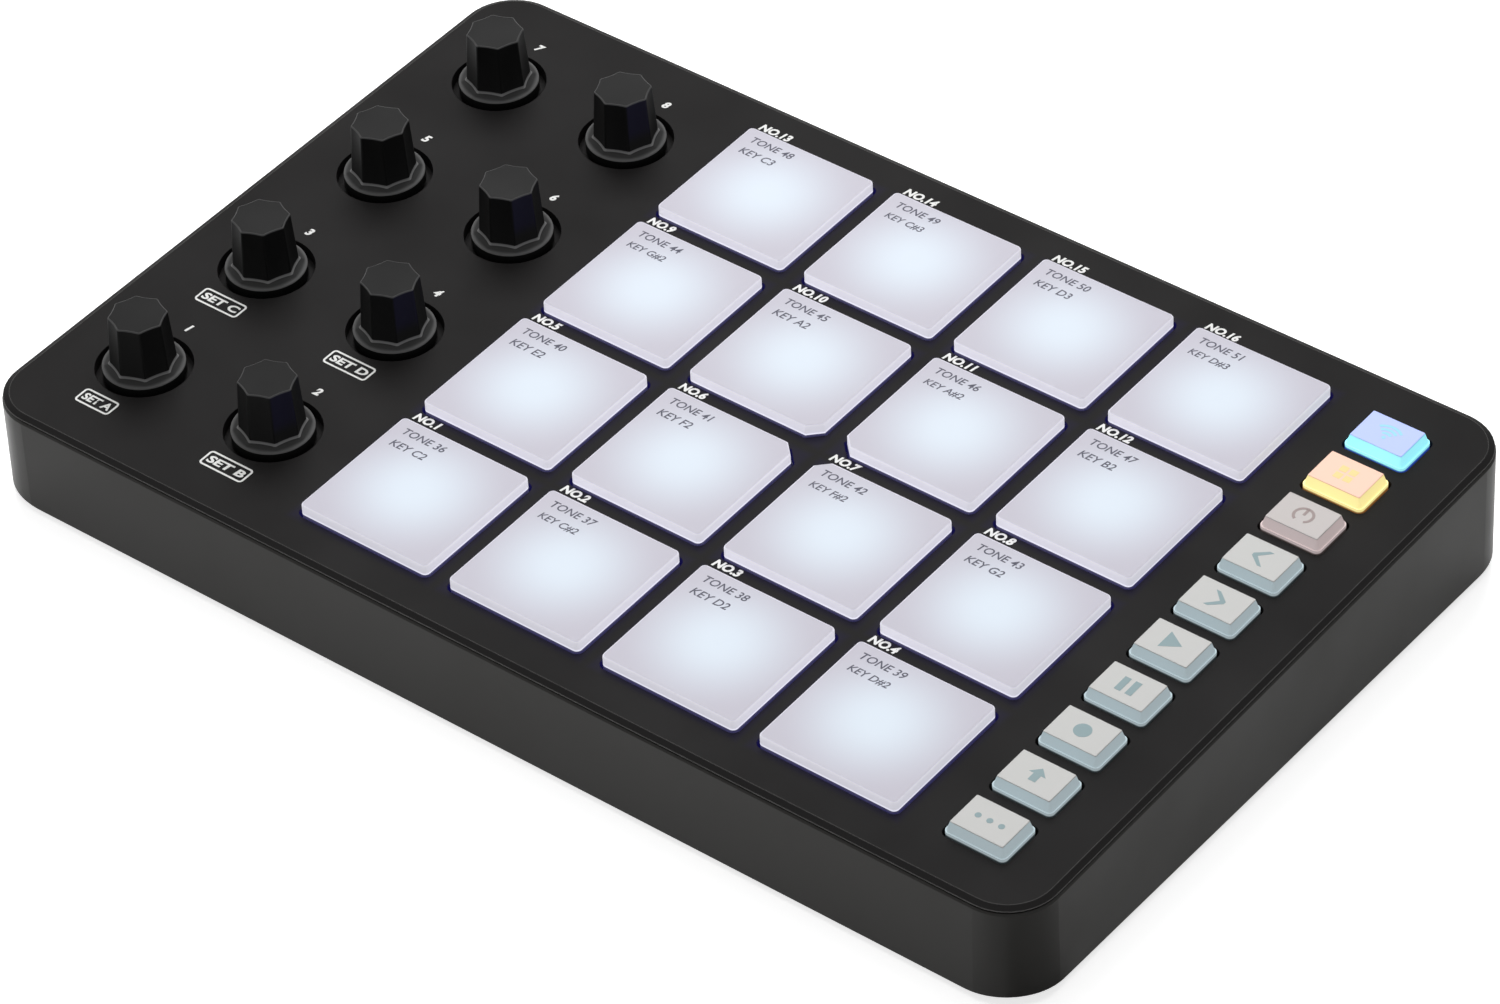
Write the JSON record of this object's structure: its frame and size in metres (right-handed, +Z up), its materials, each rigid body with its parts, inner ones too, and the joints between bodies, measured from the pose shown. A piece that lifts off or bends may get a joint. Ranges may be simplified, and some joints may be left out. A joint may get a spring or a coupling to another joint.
{
  "type": "midi pad controller",
  "caption": "Wedge-shaped desktop music controller with a square grid of lit drum pads, a column of small buttons and two columns of endless knobs.",
  "frame": {"origin": "middle of the footprint, on the surface that the feet stand on", "axes": "+X to the right along the long side, +Y from the front edge to the taller rear edge, +Z up"},
  "size_m": [0.2332, 0.1517, 0.039],
  "materials": {
    "panel_plastic": "fine matt texture",
    "case_plastic": "satin",
    "pad_silicone": "satin, translucent, lit from below",
    "button_silicone": "satin, translucent",
    "knob_plastic": "soft matt",
    "board": "solder resist",
    "film": "satin",
    "led": "satin",
    "battery_foil": "satin",
    "plated_steel": "plated",
    "screw_steel": "dark plated",
    "foot_rubber": "matt"
  },
  "bodies": {
    "case": {"top_panel": "panel_plastic", "bottom_case": "case_plastic", "main_pcb": "board", "encoder_bodies": "plated_steel", "pad_sensor_sheet": "film", "pad_mat": "pad_silicone", "pad_leds": "led", "keypad_mat": "button_silicone", "button_switches": "plated_steel", "battery": "battery_foil", "usb_socket": "plated_steel", "power_switch": "plated_steel", "case_screws": "screw_steel", "pcb_screws": "screw_steel", "feet": "foot_rubber"},
    "power_slider": {"power_slider": "knob_plastic"},
    "pad_01": {"pad_01": "pad_silicone"},
    "pad_02": {"pad_02": "pad_silicone"},
    "pad_03": {"pad_03": "pad_silicone"},
    "pad_04": {"pad_04": "pad_silicone"},
    "pad_05": {"pad_05": "pad_silicone"},
    "pad_06": {"pad_06": "pad_silicone"},
    "pad_07": {"pad_07": "pad_silicone"},
    "pad_08": {"pad_08": "pad_silicone"},
    "pad_09": {"pad_09": "pad_silicone"},
    "pad_10": {"pad_10": "pad_silicone"},
    "pad_11": {"pad_11": "pad_silicone"},
    "pad_12": {"pad_12": "pad_silicone"},
    "pad_13": {"pad_13": "pad_silicone"},
    "pad_14": {"pad_14": "pad_silicone"},
    "pad_15": {"pad_15": "pad_silicone"},
    "pad_16": {"pad_16": "pad_silicone"},
    "button_01": {"button_01": "button_silicone"},
    "button_02": {"button_02": "button_silicone"},
    "button_03": {"button_03": "button_silicone"},
    "button_04": {"button_04": "button_silicone"},
    "button_05": {"button_05": "button_silicone"},
    "button_06": {"button_06": "button_silicone"},
    "button_07": {"button_07": "button_silicone"},
    "button_08": {"button_08": "button_silicone"},
    "button_09": {"button_09": "button_silicone"},
    "button_10": {"button_10": "button_silicone"},
    "knob_1": {"knob_1": "knob_plastic", "encoder_shaft_1": "plated_steel"},
    "knob_2": {"knob_2": "knob_plastic", "encoder_shaft_2": "plated_steel"},
    "knob_3": {"knob_3": "knob_plastic", "encoder_shaft_3": "plated_steel"},
    "knob_4": {"knob_4": "knob_plastic", "encoder_shaft_4": "plated_steel"},
    "knob_5": {"knob_5": "knob_plastic", "encoder_shaft_5": "plated_steel"},
    "knob_6": {"knob_6": "knob_plastic", "encoder_shaft_6": "plated_steel"},
    "knob_7": {"knob_7": "knob_plastic", "encoder_shaft_7": "plated_steel"},
    "knob_8": {"knob_8": "knob_plastic", "encoder_shaft_8": "plated_steel"}
  },
  "joints": [
    {"name": "pad_01_press", "type": "slide", "parent": "case", "child": "pad_01", "axis": [0, 0.0345, -0.9994], "range_m": [0, 0.001], "stiffness_N_per_m": 800, "springref_m": -0.0005},
    {"name": "pad_02_press", "type": "slide", "parent": "case", "child": "pad_02", "axis": [0, 0.0345, -0.9994], "range_m": [0, 0.001], "stiffness_N_per_m": 800, "springref_m": -0.0005},
    {"name": "pad_03_press", "type": "slide", "parent": "case", "child": "pad_03", "axis": [0, 0.0345, -0.9994], "range_m": [0, 0.001], "stiffness_N_per_m": 800, "springref_m": -0.0005},
    {"name": "pad_04_press", "type": "slide", "parent": "case", "child": "pad_04", "axis": [0, 0.0345, -0.9994], "range_m": [0, 0.001], "stiffness_N_per_m": 800, "springref_m": -0.0005},
    {"name": "pad_05_press", "type": "slide", "parent": "case", "child": "pad_05", "axis": [0, 0.0345, -0.9994], "range_m": [0, 0.001], "stiffness_N_per_m": 800, "springref_m": -0.0005},
    {"name": "pad_06_press", "type": "slide", "parent": "case", "child": "pad_06", "axis": [0, 0.0345, -0.9994], "range_m": [0, 0.001], "stiffness_N_per_m": 800, "springref_m": -0.0005},
    {"name": "pad_07_press", "type": "slide", "parent": "case", "child": "pad_07", "axis": [0, 0.0345, -0.9994], "range_m": [0, 0.001], "stiffness_N_per_m": 800, "springref_m": -0.0005},
    {"name": "pad_08_press", "type": "slide", "parent": "case", "child": "pad_08", "axis": [0, 0.0345, -0.9994], "range_m": [0, 0.001], "stiffness_N_per_m": 800, "springref_m": -0.0005},
    {"name": "pad_09_press", "type": "slide", "parent": "case", "child": "pad_09", "axis": [0, 0.0345, -0.9994], "range_m": [0, 0.001], "stiffness_N_per_m": 800, "springref_m": -0.0005},
    {"name": "pad_10_press", "type": "slide", "parent": "case", "child": "pad_10", "axis": [0, 0.0345, -0.9994], "range_m": [0, 0.001], "stiffness_N_per_m": 800, "springref_m": -0.0005},
    {"name": "pad_11_press", "type": "slide", "parent": "case", "child": "pad_11", "axis": [0, 0.0345, -0.9994], "range_m": [0, 0.001], "stiffness_N_per_m": 800, "springref_m": -0.0005},
    {"name": "pad_12_press", "type": "slide", "parent": "case", "child": "pad_12", "axis": [0, 0.0345, -0.9994], "range_m": [0, 0.001], "stiffness_N_per_m": 800, "springref_m": -0.0005},
    {"name": "pad_13_press", "type": "slide", "parent": "case", "child": "pad_13", "axis": [0, 0.0345, -0.9994], "range_m": [0, 0.001], "stiffness_N_per_m": 800, "springref_m": -0.0005},
    {"name": "pad_14_press", "type": "slide", "parent": "case", "child": "pad_14", "axis": [0, 0.0345, -0.9994], "range_m": [0, 0.001], "stiffness_N_per_m": 800, "springref_m": -0.0005},
    {"name": "pad_15_press", "type": "slide", "parent": "case", "child": "pad_15", "axis": [0, 0.0345, -0.9994], "range_m": [0, 0.001], "stiffness_N_per_m": 800, "springref_m": -0.0005},
    {"name": "pad_16_press", "type": "slide", "parent": "case", "child": "pad_16", "axis": [0, 0.0345, -0.9994], "range_m": [0, 0.001], "stiffness_N_per_m": 800, "springref_m": -0.0005},
    {"name": "button_01_press", "type": "slide", "parent": "case", "child": "button_01", "axis": [0, 0.0345, -0.9994], "range_m": [0, 0.001], "stiffness_N_per_m": 600, "springref_m": -0.0005},
    {"name": "button_02_press", "type": "slide", "parent": "case", "child": "button_02", "axis": [0, 0.0345, -0.9994], "range_m": [0, 0.001], "stiffness_N_per_m": 600, "springref_m": -0.0005},
    {"name": "button_03_press", "type": "slide", "parent": "case", "child": "button_03", "axis": [0, 0.0345, -0.9994], "range_m": [0, 0.001], "stiffness_N_per_m": 600, "springref_m": -0.0005},
    {"name": "button_04_press", "type": "slide", "parent": "case", "child": "button_04", "axis": [0, 0.0345, -0.9994], "range_m": [0, 0.001], "stiffness_N_per_m": 600, "springref_m": -0.0005},
    {"name": "button_05_press", "type": "slide", "parent": "case", "child": "button_05", "axis": [0, 0.0345, -0.9994], "range_m": [0, 0.001], "stiffness_N_per_m": 600, "springref_m": -0.0005},
    {"name": "button_06_press", "type": "slide", "parent": "case", "child": "button_06", "axis": [0, 0.0345, -0.9994], "range_m": [0, 0.001], "stiffness_N_per_m": 600, "springref_m": -0.0005},
    {"name": "button_07_press", "type": "slide", "parent": "case", "child": "button_07", "axis": [0, 0.0345, -0.9994], "range_m": [0, 0.001], "stiffness_N_per_m": 600, "springref_m": -0.0005},
    {"name": "button_08_press", "type": "slide", "parent": "case", "child": "button_08", "axis": [0, 0.0345, -0.9994], "range_m": [0, 0.001], "stiffness_N_per_m": 600, "springref_m": -0.0005},
    {"name": "button_09_press", "type": "slide", "parent": "case", "child": "button_09", "axis": [0, 0.0345, -0.9994], "range_m": [0, 0.001], "stiffness_N_per_m": 600, "springref_m": -0.0005},
    {"name": "button_10_press", "type": "slide", "parent": "case", "child": "button_10", "axis": [0, 0.0345, -0.9994], "range_m": [0, 0.001], "stiffness_N_per_m": 600, "springref_m": -0.0005},
    {"name": "knob_1_turn", "type": "hinge", "parent": "case", "child": "knob_1", "pos_m": [-0.0974, -0.05182, 0.02332], "axis": [0, -0.0345, 0.9994], "continuous": true},
    {"name": "knob_2_turn", "type": "hinge", "parent": "case", "child": "knob_2", "pos_m": [-0.0664, -0.05182, 0.02332], "axis": [0, -0.0345, 0.9994], "continuous": true},
    {"name": "knob_3_turn", "type": "hinge", "parent": "case", "child": "knob_3", "pos_m": [-0.0974, -0.01784, 0.02449], "axis": [0, -0.0345, 0.9994], "continuous": true},
    {"name": "knob_4_turn", "type": "hinge", "parent": "case", "child": "knob_4", "pos_m": [-0.0664, -0.01784, 0.02449], "axis": [0, -0.0345, 0.9994], "continuous": true},
    {"name": "knob_5_turn", "type": "hinge", "parent": "case", "child": "knob_5", "pos_m": [-0.0974, 0.01614, 0.02567], "axis": [0, -0.0345, 0.9994], "continuous": true},
    {"name": "knob_6_turn", "type": "hinge", "parent": "case", "child": "knob_6", "pos_m": [-0.0664, 0.01614, 0.02567], "axis": [0, -0.0345, 0.9994], "continuous": true},
    {"name": "knob_7_turn", "type": "hinge", "parent": "case", "child": "knob_7", "pos_m": [-0.0974, 0.05012, 0.02684], "axis": [0, -0.0345, 0.9994], "continuous": true},
    {"name": "knob_8_turn", "type": "hinge", "parent": "case", "child": "knob_8", "pos_m": [-0.0664, 0.05012, 0.02684], "axis": [0, -0.0345, 0.9994], "continuous": true},
    {"name": "power_slide", "type": "slide", "parent": "case", "child": "power_slider", "axis": [1, 0, 0], "range_m": [0, 0.002]}
  ]
}
